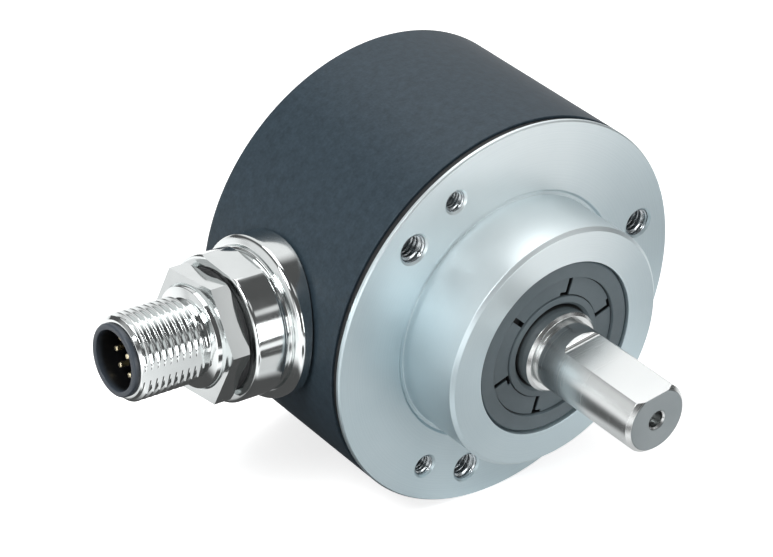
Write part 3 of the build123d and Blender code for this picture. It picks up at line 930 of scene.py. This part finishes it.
aluminium, paint = turned_aluminium(), slate_paint()
nickel, rubber = bright_nickel(), black_rubber()
steel, plastic, seal_finish = ground_steel(), black_plastic(), seal_rubber()
bare_steel = plain_metal("plain_steel", (0.42, 0.42, 0.42), (0.52, 0.52, 0.51), 0.28)
brass = plain_metal("plain_brass", (0.62, 0.48, 0.22), (0.72, 0.56, 0.28), 0.25)
gold = plain_metal("contact_gold", (0.86, 0.76, 0.50), (0.93, 0.84, 0.60), 0.22)
laminate = plain_solid("green_laminate", (0.012, 0.085, 0.035), (0.02, 0.12, 0.05), 0.35)
ribbon = plain_solid("lead_ribbon", (0.30, 0.31, 0.33), (0.38, 0.39, 0.41), 0.5)
cut_aluminium = plain_metal("cut_aluminium", (0.50, 0.54, 0.56), (0.62, 0.66, 0.68), 0.2)
glass = disc_glass()

dress(flange_piece(), aluminium, "housing", "turned_aluminium", "flange")
threads = [hole_thread(kind, x, z) for kind in (M4, M3) for x, z in bolt_places(kind)]
dress(joined("hole_threads", threads), cut_aluminium, "housing", "turned_aluminium")
dress(cup_piece(), paint, "housing", "grey_paint", "housing_cup")
dress(gasket_piece(), rubber, "housing", "black_rubber", "flange_gasket")
dress(seal_piece(), seal_finish, "housing", "seal_rubber", "shaft_seal")
dress(shaft_piece(), steel, "shaft", "ground_steel", "shaft")
dress(base_piece(), nickel, "housing", "bright_nickel", "connector_base")
dress(saddle_gasket_piece(), rubber, "housing", "black_rubber", "saddle_gasket")
dress(body_piece(), nickel, "housing", "bright_nickel", "connector_body")
dress(nut_piece(), nickel, "housing", "bright_nickel", "lock_nut")
dress(nut_ring_piece(), rubber, "housing", "black_rubber", "nut_seal_ring")
dress(thread_piece(), nickel, "housing", "bright_nickel", "thread_shell")
dress(insert_piece(), plastic, "housing", "black_plastic", "contact_insert")
dress(pin_pieces(), gold, "housing", "contact_gold", "contact_pins")

FINISHES = {
    "turned_aluminium": aluminium, "black_rubber": rubber, "grey_paint": paint,
    "screw_steel": bare_steel, "seal_rubber": seal_finish, "plain_steel": bare_steel,
    "bearing_steel": bare_steel, "ground_steel": steel, "plain_brass": brass, "disc_glass": glass,
    "black_plastic": plastic, "green_laminate": laminate, "lead_ribbon": ribbon,
    "bright_nickel": nickel, "contact_gold": gold,
}
for row in frame["record"]["subparts"]:
    node = frame["nodes"][row["node"]]
    node.data.materials.clear()
    node.data.materials.append(FINISHES[row["material_slot"]])


def pale_floor():
    """Floor: pale and lit, lifted to white for the camera. Metal sees it white too, apart from patches
    of painted shade, seen by glossy rays only, by the encoder and far in front, each an oval round a
    point."""
    finish = Finish("pale_floor")
    x, y, _ = finish.axes()
    seen = finish.rays("Is Camera Ray", "Is Transmission Ray")
    mirrored = finish.rays("Is Glossy Ray")
    white = 1.0
    for (middle_x, middle_y), stretch, inner, outer, depth in REFLECTED_SHADE_PATCHES:
        across, forward = (x - middle_x * MM) / stretch, y - middle_y * MM
        clear = finish.rise((across * across + forward * forward) ** 0.5, inner * MM, outer * MM)
        white = (clear * depth + (1 - depth)) * white
    # Painted shade for glossy rays inside the patches.
    shade = mirrored * (1 - white)
    tone = finish.ramp(seen.math("MAXIMUM", mirrored), [
        (0.0, (0.12, 0.12, 0.12)), (1.0, (0.82, 0.82, 0.82))])
    light = finish.node("ShaderNodeBsdfDiffuse", None, tone)
    strength = seen * FLOOR_LIFT + mirrored * FLOOR_MIRRORED
    lift = finish.node("ShaderNodeEmission", None, WHITE, strength)
    dark = finish.node("ShaderNodeEmission", None, WHITE, REFLECTED_SHADE_LEVEL)
    bright = finish.node("ShaderNodeAddShader", None, light, lift)
    both = finish.node("ShaderNodeMixShader", None, shade, bright, dark)
    finish.tree.links.new(both.socket, finish.output.inputs[0])
    return finish.material


def studio_world():
    """World: white for camera and transmission rays, plain grey light for diffuse ones. Glossy rays
    see a grey studio with white softboxes, each a smooth patch round a direction."""
    world = bpy.data.worlds.new("studio")
    bpy.context.scene.world = world
    finish = Finish("studio", world)
    room = STUDIO_GREY
    for direction, inner, outer, level in SOFTBOXES:
        aim = Vector(direction).normalized()
        near = finish.node(
            "ShaderNodeVectorMath", {"operation": "DOT_PRODUCT"}, finish.place, aim, out="Value")
        patch = finish.rise(near, cos(radians(outer)), cos(radians(inner)))
        room = room + patch * (level - STUDIO_GREY)
    seen = finish.rays("Is Camera Ray", "Is Transmission Ray")
    mirrored = finish.rays("Is Glossy Ray")
    plain = seen * (1 - WORLD_LIGHT) + WORLD_LIGHT
    strength = mirrored * room.math("MINIMUM", 1.0) + (1 - mirrored) * plain
    background = finish.node("ShaderNodeBackground", None, WHITE, strength)
    finish.tree.links.new(background.socket, finish.output.inputs[0])


def lamp(name, place, width, power):
    """Square softbox, in millimetres, aimed at the origin."""
    data = bpy.data.lights.new(name, "AREA")
    data.shape, data.size, data.energy = "SQUARE", width * MM, power
    made = bpy.data.objects.new(name, data)
    bpy.context.scene.collection.objects.link(made)
    made.location = Vector(place) * MM
    made.rotation_mode = "QUATERNION"
    made.rotation_quaternion = (-Vector(place)).to_track_quat("-Z", "Y")


# Studio. A strength of 1 is white. A patch of painted shade on the floor, seen only by glossy rays, is
# a middle, a stretch, an inner and an outer radius and a depth; a softbox a direction, an inner and an
# outer angle and a strength; a lamp a place, a width and a power.
WHITE = (1, 1, 1, 1)
FLOOR_LIFT = 0.74
FLOOR_MIRRORED = 0.5
# Painted shade: inside these patches the floor is dark for glossy rays, so the metal reflects shade by
# the encoder, while the camera sees the floor white.
REFLECTED_SHADE_PATCHES = (
    ((78, -48), 1.6, 11, 27, 1.0),
    ((2, -24), 1.2, 14, 34, 0.4),
    ((-38, 14), 1.1, 22, 34, 1.0),
    ((-66, 50), 1.0, 24, 46, 0.35),
    ((8, -58), 0.5, 12, 26, 1.0),
    ((16, -88), 1.0, 16, 28, 1.0),
    ((-55, -60), 1.0, 20, 34, 1.0),
    ((600, -950), 1.0, 850, 960, 1.0),
)
REFLECTED_SHADE_LEVEL = 0.09
WORLD_LIGHT = 0.32
STUDIO_GREY = 0.10
SOFTBOXES = (
    ((0.50, 0.66, 0.56), 24, 40, 1.0),
    ((0.569, -0.627, 0.531), 2.5, 5, 1.0),
    ((0.70, -0.56, 0.44), 7, 12.5, 1.0),
    ((0.33, -0.55, 0.76), 5, 11, 1.0),
    ((-0.75, 0.35, 0.10), 22, 45, 0.9),
    ((-0.82, -0.60, 0.10), 12, 24, 1.0),
)
LAMPS = (
    ("top_softbox", (25, 130, 430), 300, 0.70),
    ("left_softbox", (-330, -60, 360), 170, 1.25),
    ("front_softbox", (140, -430, 90), 200, 0.5),
    ("side_softbox", (-410, -300, 60), 160, 0.25),
)
FLOOR_SIZE = 4000.0
reach = FLOOR_SIZE / 2 * MM
floor_corners = [(-reach, -reach, 0), (reach, -reach, 0), (reach, reach, 0), (-reach, reach, 0)]
floor_mesh = bpy.data.meshes.new("floor")
floor_mesh.from_pydata(floor_corners, [], [(0, 1, 2, 3)])
floor_mesh.transform(Matrix.Translation((0, 0, -HOUSING_R * MM)))
floor = bpy.data.objects.new("floor", floor_mesh)
bpy.context.scene.collection.objects.link(floor)
floor_mesh.materials.append(pale_floor())
studio_world()

for name, place, width, power in LAMPS:
    lamp(name, place, width, power)

# Camera, worked out from the photograph: orbit angles in degrees, distances in millimetres
ORBIT, RISE, ROLL = -41.155, 30.227, 6.124
DISTANCE, SHIFT_RIGHT, SHIFT_UP = 389.08, -16.607, 4.95
FOCAL_PIXELS, PHOTO_WIDTH = 2856.6, 773
orbit, rise, roll = radians(ORBIT), radians(RISE), radians(ROLL)
back = Vector((sin(orbit) * cos(rise), -cos(orbit) * cos(rise), sin(rise)))
level_right = Vector((cos(orbit), sin(orbit), 0))
level_up = back.cross(level_right)
right = cos(roll) * level_right + sin(roll) * level_up
up = -sin(roll) * level_right + cos(roll) * level_up
view = bpy.data.cameras.new("camera")
view.sensor_width = 36.0
view.lens = FOCAL_PIXELS * view.sensor_width / PHOTO_WIDTH
view.clip_start, view.clip_end = 0.01, 10.0
camera = bpy.data.objects.new("camera", view)
bpy.context.scene.collection.objects.link(camera)
standpoint = (back * DISTANCE + right * SHIFT_RIGHT + up * SHIFT_UP) * MM
camera.matrix_world = Matrix.Translation(standpoint) @ Matrix((right, up, back)).transposed().to_4x4()
bpy.context.scene.camera = camera
bpy.context.scene.view_settings.view_transform = "Standard"
